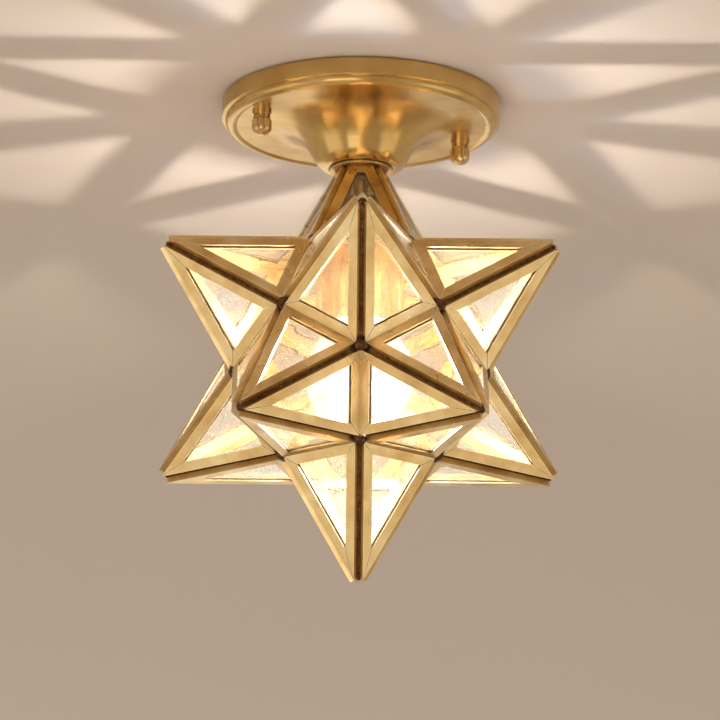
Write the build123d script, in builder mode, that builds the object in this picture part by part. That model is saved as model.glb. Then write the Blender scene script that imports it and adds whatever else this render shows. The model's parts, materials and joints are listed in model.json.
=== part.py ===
"""Star semi-flush ceiling light: a small stellated dodecahedron of framed glass under a spun canopy.

Millimetres, +Z up. The origin is the centre of the canopy's rim, in the ceiling plane, and the
light hangs below it. -Y is the front. Azimuths are counted from the front towards +X.
"""
from build123d import *
from math import atan2, cos, degrees, pi, radians, sin, sqrt, tan
import os

os.makedirs("parts", exist_ok=True)

# Driving dimensions of the star
EDGE = 50.0                # edge of the dodecahedron inside the star, the short side of each pane
STAR_DROP = 138.0          # star centre below the ceiling
CHANNEL_DEPTH = 4.4        # U-channel, measured through the pane
CHANNEL_FLANGE = 5.0       # width of brass seen round each pane
SHEET = 0.7                # thickness of the channel's brass
GLASS_CLEARANCE = 0.3      # pane to the channel's bottom
MITRE_SLIT = 0.25          # saw gap left at each mitred corner
SOLDER_LEG = 1.4           # side of a solder seam's triangular section
SOLDER_END_GAP = 1.2       # seam ends this far inside the channel's corners

# Driving dimensions of the canopy
CANOPY_RADIUS = 71.0
CANOPY_SHEET = 1.0
RIM_HEIGHT = 8.6           # upright wall
RIM_STEP = 1.8             # shelf between the wall and the bead, measured across
RIM_STEP_DROP = 0.7
BEAD_RADIUS = 67.2         # bead's lowest circle
BEAD_DROP = 12.9
DISC_DROP = 12.5           # flat ring below the ceiling
DISC_OUTER_RADIUS = 63.4
FLARE_START_RADIUS = 49.0
FLARE_RADIUS = 26.0        # concave trumpet arc
FLARE_TURN = 62.0          # degrees that the trumpet turns downwards
NECK_STRAIGHT = 6.0        # straight run of the neck below the trumpet arc
NECK_OPENING_RADIUS = 16.4
NECK_DEPTH = 35.4          # opening's distance below the ceiling

# Driving dimensions of the fixing
STUD_PCD = 110.0
STUD_AZIMUTH = 113.0       # line of the two studs, turned 23 degrees from +X towards the back
STUD_RADIUS = 2.0
STUD_END = 22.0            # stud's tip below the ceiling
STUD_HOLE_RADIUS = 2.5     # in the canopy
BAR_WIDTH = 18.0
BAR_SHEET = 2.0
BAR_HALF_LENGTH = 62.0
BAR_FLAT_HALF = 38.0       # middle of the bar that lies against the ceiling
BAR_JOGGLE = 4.0           # how far the bar's ends step down
CEILING_SCREW_PCD = 60.0
CEILING_SCREW_RADIUS = 2.3

# Driving dimensions of the stem, socket cup and lampholder
NIPPLE_RADIUS = 5.0
NIPPLE_BORE = 3.6
STEM_RADIUS = 6.2
STAR_CAP_RADIUS = 15.9
STAR_CAP_SHEET = 1.2
COLLAR_DROP = 37.0         # top of the cut-off point, below the ceiling
CUP_RADIUS = 21.5
CUP_SHEET = 0.8
CUP_TOP = 54.3
CUP_HEAD_RADIUS = 14.0     # where the flat head turns into the shoulder
CUP_SHOULDER = 68.0        # shoulder's lower end below the ceiling
CUP_BOTTOM = 120.5
HOLDER_RADIUS = 19.2
HOLDER_TOP = 64.0
HOLDER_BOTTOM = 112.0
SOCKET_RADIUS = 14.0       # bore that takes the screw shell

# Driving dimensions of the bulb, a 55 mm pear lamp with a 27 mm screw cap
BULB_RADIUS = 27.5
BULB_WALL = 0.9
BULB_BOTTOM = 175.0
CAP_RADIUS = 13.05
CAP_TOP = 79.0
CAP_BOTTOM = 105.0

# Geometry that follows from the edge
GOLDEN = (1 + sqrt(5)) / 2
HALF_DIHEDRAL = radians(58.2825)              # half of the angle between two panes at a ridge
INRADIUS = EDGE * 1.113516                    # centre to a dodecahedron face
MIDRADIUS = EDGE * GOLDEN**2 / 2              # centre to a dodecahedron edge
TIP_RADIUS = INRADIUS * sqrt(5)
APOTHEM = EDGE / (2 * tan(pi / 5))            # of a dodecahedron face
BASE_RADIUS = EDGE / (2 * sin(pi / 5))        # circumradius of a dodecahedron face
PANE_HEIGHT = EDGE / 2 * tan(radians(72))     # valley edge to tip along a pane
RIDGE_LENGTH = EDGE * GOLDEN
RIDGE_INSET = CHANNEL_DEPTH / tan(HALF_DIHEDRAL)
UP_TILT = (1 / sqrt(5), 2 / sqrt(5))          # height and radius of a ring point's direction
STAR_CENTRE = Vector(0, 0, -STAR_DROP)


def azimuth(angle, radius, height=0.0):
    """A point at an azimuth counted from the front towards +X."""
    return Vector(radius * sin(radians(angle)), -radius * cos(radians(angle)), height)


def point_plane(angle, ring):
    """Plane of one star point: origin at the star's centre, z to the tip, x to a base corner."""
    if ring in ("top", "bottom"):
        sign = 1 if ring == "top" else -1
        return Plane(STAR_CENTRE, x_dir=(0, sign, 0), z_dir=(0, 0, sign))
    sign = 1 if ring == "upper" else -1
    axis = azimuth(angle, UP_TILT[1], sign * UP_TILT[0])
    corner = azimuth(angle, UP_TILT[0], -sign * UP_TILT[1])
    return Plane(STAR_CENTRE, x_dir=corner, z_dir=axis)


STAR_POINTS = {
    "top_point": point_plane(0, "top"),
    "bottom_point": point_plane(0, "bottom"),
    "front_upper_point": point_plane(0, "upper"),
    "right_upper_point": point_plane(72, "upper"),
    "left_upper_point": point_plane(-72, "upper"),
    "right_rear_upper_point": point_plane(144, "upper"),
    "left_rear_upper_point": point_plane(-144, "upper"),
    "right_front_lower_point": point_plane(36, "lower"),
    "left_front_lower_point": point_plane(-36, "lower"),
    "right_lower_point": point_plane(108, "lower"),
    "left_lower_point": point_plane(-108, "lower"),
    "door": point_plane(180, "lower"),
}


def face_plane(middle):
    """Plane of one pane in its point's frame: origin at the valley edge's middle, y to the tip."""
    angle = radians(middle)
    origin = Vector(APOTHEM * cos(angle), APOTHEM * sin(angle), INRADIUS)
    along = Vector(-sin(angle), cos(angle), 0)
    rise = Vector(-UP_TILT[0] * cos(angle), -UP_TILT[0] * sin(angle), UP_TILT[1])
    return Plane(origin, x_dir=along, z_dir=along.cross(rise))


FACE_MIDDLES = [36 + 72 * k for k in range(5)]


def five_faces(point):
    """Where the five panes of a star point stand."""
    place = STAR_POINTS[point].location
    return [place * face_plane(middle).location for middle in FACE_MIDDLES]


def pane_outline(inset, valley_gap=0.0, cut_height=None):
    """Corners of a pane's channel outline, moved in by inset from each side."""
    foot = valley_gap + inset
    side = RIDGE_INSET + inset
    half_foot = EDGE / 2 - foot / tan(radians(72)) - side / sin(radians(72))
    if cut_height is None:
        return [(-half_foot, foot), (half_foot, foot), (0, PANE_HEIGHT - side / sin(radians(18)))]
    head = cut_height - inset
    half_head = (PANE_HEIGHT - head) * tan(radians(18)) - side / cos(radians(18))
    return [(-half_foot, foot), (half_foot, foot), (half_head, head), (-half_head, head)]


def channel_frame(valley_gap=0.0, cut_height=None):
    """The mitred U-channel lengths round one pane, outer face on the XY plane."""
    outer = pane_outline(0, valley_gap, cut_height)
    opening = pane_outline(CHANNEL_FLANGE, valley_gap, cut_height)
    with BuildPart() as frame:
        with BuildSketch(Plane.XY):
            with BuildLine():
                Polyline(*outer, close=True)
            make_face()
            with BuildLine():
                Polyline(*opening, close=True)
            make_face(mode=Mode.SUBTRACT)
        extrude(amount=-CHANNEL_DEPTH)
        with BuildSketch(Plane.XY.offset(-SHEET)):
            with BuildLine():
                Polyline(*pane_outline(SHEET, valley_gap, cut_height), close=True)
            make_face()
        extrude(amount=-(CHANNEL_DEPTH - 2 * SHEET), mode=Mode.SUBTRACT)
        with BuildSketch(Plane.XY):
            for corner, inner in zip(outer, opening):
                run = Vector(*inner) - Vector(*corner)
                middle = Vector(*corner) + run * 0.5
                turn = degrees(atan2(run.Y, run.X))
                with Locations(Location((middle.X, middle.Y), turn)):
                    Rectangle(run.length + 2 * SHEET, MITRE_SLIT)
        extrude(amount=-CHANNEL_DEPTH, mode=Mode.SUBTRACT)
    return frame.part


def glass_pane(valley_gap=0.0, cut_height=None):
    """The pane that sits in a channel frame."""
    inset = SHEET + GLASS_CLEARANCE
    with BuildPart() as pane:
        with BuildSketch(Plane.XY.offset(-SHEET)):
            with BuildLine():
                Polyline(*pane_outline(inset, valley_gap, cut_height), close=True)
            make_face()
        extrude(amount=-(CHANNEL_DEPTH - 2 * SHEET))
    return pane.part


def write(part, name):
    """Labels a finished piece and writes it to its own file."""
    part.label = name
    export_step(part, f"parts/{name}.step")


def group(pieces, name):
    """Writes separate solids that share one node."""
    write(Compound(children=pieces), name)


def copies(pieces, places):
    """One copy of every solid at every place."""
    return [solid.moved(place) for place in places for solid in pieces.solids()]


# The star's frames and panes, twelve points of five
DOOR_GAP = 0.3                                # running gap round the door's base
COLLAR_HEIGHT = STAR_DROP - COLLAR_DROP
COLLAR_CUT = (COLLAR_HEIGHT - INRADIUS) / UP_TILT[1]
for point in STAR_POINTS:
    if point == "door":
        options = {"valley_gap": DOOR_GAP}
    elif point == "top_point":
        options = {"cut_height": COLLAR_CUT}
    else:
        options = {}
    group(copies(channel_frame(**options), five_faces(point)), f"{point}_frame")
    group(copies(glass_pane(**options), five_faces(point)), f"{point}_glass")


def solder_seam(plane, length, apex=0.0):
    """A seam of triangular section, in the open angle between two channel walls."""
    reach = SOLDER_LEG * cos(pi / 2 - HALF_DIHEDRAL)
    half = SOLDER_LEG * sin(pi / 2 - HALF_DIHEDRAL)
    with BuildPart() as seam:
        with BuildSketch(plane):
            with BuildLine():
                Polyline((apex, 0), (apex + reach, half), (apex + reach, -half), close=True)
            make_face()
        extrude(amount=length)
    return seam.part


def ridge_seams(point):
    """The five seams in the grooves between the panes of one point."""
    tip = Vector(0, 0, TIP_RADIUS)
    corner = Vector(BASE_RADIUS, 0, INRADIUS)
    along = (tip - corner).normalized()
    outward = Vector(along.Z, 0, -along.X)
    start = RIDGE_INSET / tan(radians(72)) + SOLDER_END_GAP
    end = RIDGE_LENGTH - RIDGE_INSET / tan(radians(18)) - SOLDER_END_GAP
    if point == "top_point":
        end = (COLLAR_HEIGHT - INRADIUS) / along.Z - SOLDER_END_GAP
    groove_depth = CHANNEL_DEPTH / sin(HALF_DIHEDRAL)
    foot = Plane(corner + along * start, x_dir=outward, z_dir=along)
    seam = solder_seam(foot, end - start, -groove_depth)
    place = STAR_POINTS[point].location
    return copies(seam, [place * Location((0, 0, 0), (0, 0, 72 * k)) for k in range(5)])


def valley_plane(first, second):
    """Plane across a valley: origin on its middle, z along it, x straight out of the star."""
    out = (STAR_POINTS[first].z_dir + STAR_POINTS[second].z_dir).normalized()
    along = STAR_POINTS[first].z_dir.cross(STAR_POINTS[second].z_dir).normalized()
    return Plane(STAR_CENTRE + out * MIDRADIUS, x_dir=out, z_dir=along)


def valley_seam(first, second):
    """One seam behind the touching edges of two neighbouring points."""
    half = EDGE / 2 - RIDGE_INSET / sin(radians(72)) - SOLDER_END_GAP
    plane = valley_plane(first, second)
    inward = Plane(plane.origin - plane.z_dir * half, x_dir=-plane.x_dir, z_dir=plane.z_dir)
    return solder_seam(inward, 2 * half).solid()


def are_neighbours(first, second):
    """Whether two points share a valley."""
    return STAR_POINTS[first].z_dir.dot(STAR_POINTS[second].z_dir) > 0.4


names = list(STAR_POINTS)
pairs = [(a, b) for i, a in enumerate(names) for b in names[i + 1:] if are_neighbours(a, b)]
group([seam for name in names if name != "door" for seam in ridge_seams(name)], "ridge_solder")
group([valley_seam(*pair) for pair in pairs if "door" not in pair], "valley_solder")
group(ridge_seams("door"), "door_solder")

# The door's hinge, in the valley between the door and the point above it on the right
HINGE_NEIGHBOUR = "right_rear_upper_point"
HINGE_AXIS_OUT = 2.0                          # pin's axis outside the valley line
KNUCKLE_RADIUS = 1.6
PIN_RADIUS = 0.75
PIN_CLEARANCE = 0.05
HINGE_HALF = 15.0
KNUCKLE_HALF = 5.0                            # half of the door's knuckle
KNUCKLE_GAP = 0.3
LEAF_SHEET = 0.6
LEAF_EDGE = 4.7                               # leaf's far edge from the valley line
LEAF_NEAR_EDGE = 3.1                          # leaf's near edge where the other leaf has its knuckle
HINGE_PLANE = valley_plane("door", HINGE_NEIGHBOUR)


def leaf_section(start, side, near_edge, knuckle):
    """Section of a hinge leaf on the pane at one side of the valley, with or without its knuckle."""
    run = Vector(cos(HALF_DIHEDRAL), side * sin(HALF_DIHEDRAL))
    rise = Vector(sin(HALF_DIHEDRAL), -side * cos(HALF_DIHEDRAL)) * LEAF_SHEET
    corners = [run * near_edge, run * LEAF_EDGE, run * LEAF_EDGE + rise, run * near_edge + rise]
    with BuildSketch(HINGE_PLANE.offset(start)) as section:
        with BuildLine():
            Polyline(*[(corner.X, corner.Y) for corner in corners], close=True)
        make_face()
        if knuckle:
            with Locations((HINGE_AXIS_OUT, 0)):
                Circle(KNUCKLE_RADIUS)
                Circle(PIN_RADIUS + PIN_CLEARANCE, mode=Mode.SUBTRACT)
    return section.sketch


def hinge_leaf(side, knuckles):
    """A leaf soldered to one pane's frame, with its knuckles from start to end along the valley."""
    foot = HINGE_AXIS_OUT * cos(HALF_DIHEDRAL)
    with BuildPart() as leaf:
        extrude(leaf_section(-HINGE_HALF, side, LEAF_NEAR_EDGE, False), amount=2 * HINGE_HALF)
        for start, end in knuckles:
            extrude(leaf_section(start, side, foot, True), amount=end - start)
    return leaf.part


DOOR_SIDE = 1 if HINGE_PLANE.y_dir.dot(STAR_POINTS["door"].z_dir) > 0 else -1
OUTER_KNUCKLE_START = KNUCKLE_HALF + KNUCKLE_GAP
write(hinge_leaf(DOOR_SIDE, [(-KNUCKLE_HALF, KNUCKLE_HALF)]), "door_hinge_leaf")
outer_knuckles = [(-HINGE_HALF, -OUTER_KNUCKLE_START), (OUTER_KNUCKLE_START, HINGE_HALF)]
write(hinge_leaf(-DOOR_SIDE, outer_knuckles), "star_hinge_leaf")
PIN_HEAD_RADIUS = 1.3
PIN_HEAD = 0.6
PIN_STRETCHES = [(-HINGE_HALF - PIN_HEAD, PIN_HEAD, PIN_HEAD_RADIUS),
                 (-HINGE_HALF, 2 * HINGE_HALF, PIN_RADIUS),
                 (HINGE_HALF, PIN_HEAD, PIN_HEAD_RADIUS)]
with BuildPart() as hinge_pin:
    for start, length, radius in PIN_STRETCHES:
        with BuildSketch(HINGE_PLANE.offset(start)):
            with Locations((HINGE_AXIS_OUT, 0)):
                Circle(radius)
        extrude(amount=length)
write(hinge_pin.part, "door_hinge_pin")

# Two folded friction tongues on the door, in the valleys across from the hinge
TONGUE_SHEET = 0.5
TONGUE_HALF_WIDTH = 4.0
TONGUE_FOLD = 0.3                             # fold's distance from the valley line
TONGUE_ROOT = 4.0                             # leg against the door's channel
TONGUE_REACH = 6.5                            # leg beside the neighbour's channel
TONGUE_GAP = 0.3


def friction_tongue(neighbour):
    """A strip folded over the door's edge, its free leg lying beside the neighbour's channel."""
    plane = valley_plane("door", neighbour)
    side = 1 if plane.y_dir.dot(STAR_POINTS["door"].z_dir) > 0 else -1
    pane = Vector(cos(HALF_DIHEDRAL), side * sin(HALF_DIHEDRAL))
    wall = Vector(-sin(HALF_DIHEDRAL), side * cos(HALF_DIHEDRAL))
    other_wall = Vector(-sin(HALF_DIHEDRAL), -side * cos(HALF_DIHEDRAL))
    off_other = Vector(-cos(HALF_DIHEDRAL), side * sin(HALF_DIHEDRAL))
    root = pane * DOOR_GAP + wall * TONGUE_ROOT
    tip = off_other * TONGUE_GAP + other_wall * TONGUE_REACH
    inner_offset = TONGUE_GAP + 2 * TONGUE_SHEET - DOOR_GAP
    crotch = Vector(-inner_offset / (2 * cos(HALF_DIHEDRAL)),
                    side * (TONGUE_GAP + DOOR_GAP) / (2 * sin(HALF_DIHEDRAL)))
    corners = [pane * DOOR_GAP + wall * TONGUE_FOLD, root, root - pane * TONGUE_SHEET, crotch,
               tip + off_other * TONGUE_SHEET, tip, off_other * TONGUE_GAP + other_wall * TONGUE_FOLD]
    with BuildPart() as tongue:
        with BuildSketch(plane.offset(-TONGUE_HALF_WIDTH)):
            with BuildLine():
                Polyline(*[(corner.X, corner.Y) for corner in corners], close=True)
            make_face()
        extrude(amount=2 * TONGUE_HALF_WIDTH)
    return tongue.part.solid()


group([friction_tongue(name) for name in ("left_lower_point", "bottom_point")], "door_friction_tongues")


# The canopy, one spun sheet: upright rim, bead, flat ring, trumpet and a lip turned in at the neck
NECK_TOP_DEPTH = DISC_DROP + FLARE_RADIUS * (1 - cos(radians(FLARE_TURN)))
LIP_TOP_DEPTH = NECK_TOP_DEPTH + NECK_STRAIGHT * sin(radians(FLARE_TURN))
LIP_RADIUS = (NECK_DEPTH - LIP_TOP_DEPTH) / (1 - cos(radians(FLARE_TURN)))
with BuildPart() as canopy:
    with BuildSketch(Plane.XZ):
        with BuildLine():
            step = (CANOPY_RADIUS - RIM_STEP, -RIM_HEIGHT - RIM_STEP_DROP)
            disc_edge = (DISC_OUTER_RADIUS, -DISC_DROP)
            disc_end = (FLARE_START_RADIUS, -DISC_DROP)
            Polyline((CANOPY_RADIUS, 0), (CANOPY_RADIUS, -RIM_HEIGHT), step)
            ThreePointArc(step, (BEAD_RADIUS, -BEAD_DROP), disc_edge)
            Line(disc_edge, disc_end)
            flare = JernArc(disc_end, (-1, 0), FLARE_RADIUS, FLARE_TURN)
            neck = PolarLine(flare @ 1, NECK_STRAIGHT, direction=flare % 1)
            lip = JernArc(neck @ 1, neck % 1, LIP_RADIUS, -FLARE_TURN)
            Line(lip @ 1, (NECK_OPENING_RADIUS, -NECK_DEPTH))
            offset(amount=CANOPY_SHEET, side=Side.RIGHT)
        make_face()
    revolve(axis=Axis.Z)
    with Locations(*[azimuth(STUD_AZIMUTH + turn, STUD_PCD / 2, -DISC_DROP) for turn in (0, 180)]):
        Cylinder(STUD_HOLE_RADIUS, 4 * CANOPY_SHEET, mode=Mode.SUBTRACT)
write(canopy.part, "canopy")

# The ceiling bar, its studs and their lock nuts, drawn along X and turned to the stud line
BAR_TURN = Rotation(0, 0, STUD_AZIMUTH - 90)
NUT_FLATS = 7.0
NUT_HEIGHT = 3.2
JOGGLE_RUN = 4.0
JOGGLE_CORNER = 0.8        # sheet's inner bend, set back along the bar
BAR_CORNER_RADIUS = 4.0
CABLE_HOLE_RADIUS = 6.0
EARTH_PLACE = 15.0         # earth screw's place along the bar
SCREW_CLEARANCE = 0.1
with BuildPart() as ceiling_bar:
    with BuildSketch(Plane.XZ.offset(-BAR_WIDTH / 2)):
        with BuildLine():
            low = -BAR_JOGGLE
            Polyline((-BAR_HALF_LENGTH, low), (-BAR_FLAT_HALF - JOGGLE_RUN, low), (-BAR_FLAT_HALF, 0),
                     (BAR_FLAT_HALF, 0), (BAR_FLAT_HALF + JOGGLE_RUN, low), (BAR_HALF_LENGTH, low),
                     (BAR_HALF_LENGTH, low - BAR_SHEET),
                     (BAR_FLAT_HALF + JOGGLE_RUN - JOGGLE_CORNER, low - BAR_SHEET),
                     (BAR_FLAT_HALF - JOGGLE_CORNER, -BAR_SHEET),
                     (-BAR_FLAT_HALF + JOGGLE_CORNER, -BAR_SHEET),
                     (-BAR_FLAT_HALF - JOGGLE_RUN + JOGGLE_CORNER, low - BAR_SHEET),
                     (-BAR_HALF_LENGTH, low - BAR_SHEET), close=True)
        make_face()
    extrude(amount=BAR_WIDTH)
    fillet(ceiling_bar.edges().filter_by(Axis.Z), radius=BAR_CORNER_RADIUS)
    with BuildSketch(Plane.XY):
        with Locations((-STUD_PCD / 2, 0), (STUD_PCD / 2, 0), (EARTH_PLACE, 0)):
            Circle(STUD_RADIUS + SCREW_CLEARANCE)
        with Locations((-CEILING_SCREW_PCD / 2, 0), (CEILING_SCREW_PCD / 2, 0)):
            Circle(CEILING_SCREW_RADIUS)
        Circle(CABLE_HOLE_RADIUS)
    extrude(amount=-BAR_JOGGLE - BAR_SHEET, mode=Mode.SUBTRACT)
write(ceiling_bar.part.moved(BAR_TURN), "ceiling_bar")

STUD_PLACES = [azimuth(STUD_AZIMUTH + turn, STUD_PCD / 2) for turn in (0, 180)]
HEAD_RADIUS = 3.5
HEAD_HEIGHT = 2.6
HEAD_CHAMFER = 0.8
SLOT_WIDTH = 1.0
SLOT_DEPTH = 1.2
STUD_TIP_CHAMFER = 0.5
BAR_END_TOP = -BAR_JOGGLE
with BuildPart() as stud:
    with BuildSketch(Plane.XY.offset(-STUD_END)):
        Circle(STUD_RADIUS)
    extrude(amount=STUD_END + BAR_END_TOP)
    with BuildSketch(Plane.XY.offset(BAR_END_TOP)):
        Circle(HEAD_RADIUS)
    extrude(amount=HEAD_HEIGHT)
    chamfer(stud.edges().group_by(Axis.Z)[-1], length=HEAD_CHAMFER)
    with BuildSketch(Plane.XY.offset(BAR_END_TOP + HEAD_HEIGHT)):
        Rectangle(2 * HEAD_RADIUS, SLOT_WIDTH)
    extrude(amount=-SLOT_DEPTH, mode=Mode.SUBTRACT)
    chamfer(stud.edges().group_by(Axis.Z)[0], length=STUD_TIP_CHAMFER)
group(copies(stud.part, [Location(place) for place in STUD_PLACES]), "canopy_studs")


def hex_nut(flats, height, bore_radius, top):
    """A hexagon nut hanging from its top face."""
    with BuildPart() as nut:
        with BuildSketch(Plane.XY.offset(top - height)):
            RegularPolygon(radius=flats / 2, side_count=6, major_radius=False)
            Circle(bore_radius, mode=Mode.SUBTRACT)
        extrude(amount=height)
    return nut.part


THREAD_GAP = 0.05
stud_nut = hex_nut(NUT_FLATS, NUT_HEIGHT, STUD_RADIUS + THREAD_GAP, BAR_END_TOP - BAR_SHEET)
group(copies(stud_nut, [Location(place) for place in STUD_PLACES]), "stud_lock_nuts")

# The ball nuts under the canopy: a flange, a short neck and a fluted knob with a domed end
FLANGE_RADIUS = 4.9
FLANGE = 1.6
NUT_NECK_RADIUS = 4.3
NUT_NECK_END = 3.9         # below the flat ring, as are the next three
KNOB_TOP = 5.0
KNOB_SHOULDER = 8.2
NUT_LENGTH = 12.5
KNOB_RADIUS = 5.1
NUT_BORE = STUD_RADIUS + THREAD_GAP
NUT_BORE_DEPTH = STUD_END - DISC_DROP + 0.5
FLUTES = 10
FLUTE_RADIUS = 1.0
FLUTE_DEPTH = 0.65
with BuildPart() as ball_nut:
    with BuildSketch(Plane.XZ):
        with BuildLine():
            Polyline((0, -NUT_LENGTH), (0, -NUT_BORE_DEPTH), (NUT_BORE, -NUT_BORE_DEPTH), (NUT_BORE, 0),
                     (FLANGE_RADIUS, 0), (FLANGE_RADIUS, -FLANGE), (NUT_NECK_RADIUS, -FLANGE),
                     (NUT_NECK_RADIUS, -NUT_NECK_END), (KNOB_RADIUS, -KNOB_TOP),
                     (KNOB_RADIUS, -KNOB_SHOULDER))
            dome = JernArc((KNOB_RADIUS, -KNOB_SHOULDER), (0, -1), NUT_LENGTH - KNOB_SHOULDER, -90)
            Line(dome @ 1, (0, -NUT_LENGTH))
        make_face()
    revolve(axis=Axis.Z)
    with Locations((0, 0, -(NUT_NECK_END + NUT_LENGTH) / 2)):
        with PolarLocations(KNOB_RADIUS - FLUTE_DEPTH + FLUTE_RADIUS, FLUTES):
            Cylinder(FLUTE_RADIUS, NUT_LENGTH - NUT_NECK_END, mode=Mode.SUBTRACT)
for place, side in zip(STUD_PLACES, ("right", "left")):
    write(ball_nut.part.moved(Location(place + Vector(0, 0, -DISC_DROP))), f"{side}_ball_nut")


# The stack that clamps the star and the socket cup to the canopy's neck
def ring(outer, inner, bottom, top):
    """A flat washer or tube round the vertical axis."""
    with BuildPart() as washer:
        with BuildSketch(Plane.XY.offset(bottom)):
            Circle(outer)
            Circle(inner, mode=Mode.SUBTRACT)
        extrude(amount=top - bottom)
    return washer.part


NIPPLE_HOLE = NIPPLE_RADIUS + 0.1
NECK_PLATE_RADIUS = 17.2
NECK_PLATE_BOTTOM = -NECK_DEPTH + CANOPY_SHEET
NECK_PLATE_TOP = NECK_PLATE_BOTTOM + 1.5
SPACER_RADIUS = 12.0
LOCK_WASHER_RADIUS = 8.0
LOCK_WASHER_TOP = NECK_PLATE_TOP + 1.2
LOCK_WASHER_CUT = 1.0      # width of the split in the spring washer
LOCK_NUT_HEIGHT = 4.0
LOCK_NUT_FLATS = 14.0
NIPPLE_TOP = -21.0
NIPPLE_BOTTOM = -69.5
STAR_CAP_BOTTOM = -COLLAR_DROP
STAR_CAP_TOP = STAR_CAP_BOTTOM + STAR_CAP_SHEET
write(ring(NECK_PLATE_RADIUS, NIPPLE_HOLE, NECK_PLATE_BOTTOM, NECK_PLATE_TOP), "neck_plate")
write(ring(SPACER_RADIUS, NIPPLE_HOLE, STAR_CAP_TOP, NECK_PLATE_BOTTOM), "spacer_washer")
write(ring(STAR_CAP_RADIUS, NIPPLE_HOLE, STAR_CAP_BOTTOM, STAR_CAP_TOP), "star_cap")
write(ring(STEM_RADIUS, NIPPLE_HOLE, -CUP_TOP, STAR_CAP_BOTTOM), "stem_tube")
write(ring(NIPPLE_RADIUS, NIPPLE_BORE, NIPPLE_BOTTOM, NIPPLE_TOP), "threaded_tube")
with BuildPart() as lock_washer:
    add(ring(LOCK_WASHER_RADIUS, NIPPLE_HOLE, NECK_PLATE_TOP, LOCK_WASHER_TOP))
    with BuildSketch(Plane.XY.offset(NECK_PLATE_TOP)):
        with Locations((LOCK_WASHER_RADIUS, 0)):
            Rectangle(LOCK_WASHER_RADIUS, LOCK_WASHER_CUT)
    extrude(amount=LOCK_WASHER_TOP - NECK_PLATE_TOP, mode=Mode.SUBTRACT)
write(lock_washer.part, "lock_washer")
NUT_THREAD_RADIUS = NIPPLE_RADIUS + THREAD_GAP
neck_nut = hex_nut(LOCK_NUT_FLATS, LOCK_NUT_HEIGHT, NUT_THREAD_RADIUS, LOCK_WASHER_TOP + LOCK_NUT_HEIGHT)
write(neck_nut, "neck_nut")

# The socket cup, the nut inside it and the lampholder
CUP_BEND = 3.0
with BuildPart() as socket_cup:
    with BuildSketch(Plane.XZ):
        with BuildLine():
            FilletPolyline((NIPPLE_HOLE, -CUP_TOP), (CUP_HEAD_RADIUS, -CUP_TOP), (CUP_RADIUS, -CUP_SHOULDER),
                           (CUP_RADIUS, -CUP_BOTTOM), radius=CUP_BEND)
            offset(amount=CUP_SHEET, side=Side.RIGHT)
        make_face()
    revolve(axis=Axis.Z)
write(socket_cup.part, "socket_cup")
CUP_NUT_HEIGHT = 3.2
cup_nut = hex_nut(LOCK_NUT_FLATS, CUP_NUT_HEIGHT, NUT_THREAD_RADIUS, -CUP_TOP - CUP_SHEET)
write(cup_nut, "cup_nut")

HOLDER_FLOOR_TOP = -73.5
HOLDER_FLOOR_BOTTOM = -76.0
HOLDER_SHOULDER = (4.0, 5.0)                  # slope at the lampholder's top, across and down
SKIRT_TOP = -102.0
SKIRT_RADIUS = 16.5
WIRE_ROOM_RADIUS = 13.5
LEAD_OFFSET = 2.2
RIVET_RADIUS = 1.0
SHELL_RIVET_OFFSET = 11.6
with BuildPart() as lampholder:
    with BuildSketch(Plane.XZ):
        with BuildLine():
            Polyline((NUT_THREAD_RADIUS, -HOLDER_TOP),
                     (HOLDER_RADIUS - HOLDER_SHOULDER[0], -HOLDER_TOP),
                     (HOLDER_RADIUS, -HOLDER_TOP - HOLDER_SHOULDER[1]), (HOLDER_RADIUS, -HOLDER_BOTTOM),
                     (SKIRT_RADIUS, -HOLDER_BOTTOM), (SKIRT_RADIUS, SKIRT_TOP),
                     (SOCKET_RADIUS, SKIRT_TOP), (SOCKET_RADIUS, HOLDER_FLOOR_BOTTOM),
                     (0, HOLDER_FLOOR_BOTTOM), (0, HOLDER_FLOOR_TOP),
                     (WIRE_ROOM_RADIUS, HOLDER_FLOOR_TOP), (WIRE_ROOM_RADIUS, NIPPLE_BOTTOM),
                     (NUT_THREAD_RADIUS, NIPPLE_BOTTOM), close=True)
        make_face()
    revolve(axis=Axis.Z)
    with Locations((0, -LEAD_OFFSET, HOLDER_FLOOR_TOP), (0, SHELL_RIVET_OFFSET, HOLDER_FLOOR_TOP)):
        Cylinder(RIVET_RADIUS, 4 * (HOLDER_FLOOR_TOP - HOLDER_FLOOR_BOTTOM), mode=Mode.SUBTRACT)
write(lampholder.part.moved(BAR_TURN), "lampholder")

CONTACT_SHEET = 0.6
CONTACT_RADIUS = 4.5
TERMINAL_WIDTH = 2.6
with BuildPart() as centre_contact:
    with BuildSketch(Plane.XY.offset(HOLDER_FLOOR_BOTTOM - CONTACT_SHEET)):
        Circle(CONTACT_RADIUS)
    extrude(amount=CONTACT_SHEET)
    with BuildSketch(Plane.XY.offset(HOLDER_FLOOR_BOTTOM)):
        with Locations((0, -LEAD_OFFSET)):
            Circle(RIVET_RADIUS)
    extrude(amount=HOLDER_FLOOR_TOP - HOLDER_FLOOR_BOTTOM)
write(centre_contact.part.moved(BAR_TURN), "centre_contact")
with BuildPart() as shell_terminal:
    with BuildSketch(Plane.XY.offset(HOLDER_FLOOR_TOP)):
        with Locations((0, (LEAD_OFFSET + SHELL_RIVET_OFFSET) / 2)):
            SlotCenterToCenter(SHELL_RIVET_OFFSET - LEAD_OFFSET, TERMINAL_WIDTH, rotation=90)
    extrude(amount=CONTACT_SHEET)
    with BuildSketch(Plane.XY.offset(HOLDER_FLOOR_BOTTOM)):
        with Locations((0, SHELL_RIVET_OFFSET)):
            Circle(RIVET_RADIUS)
    extrude(amount=HOLDER_FLOOR_TOP - HOLDER_FLOOR_BOTTOM)
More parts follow.
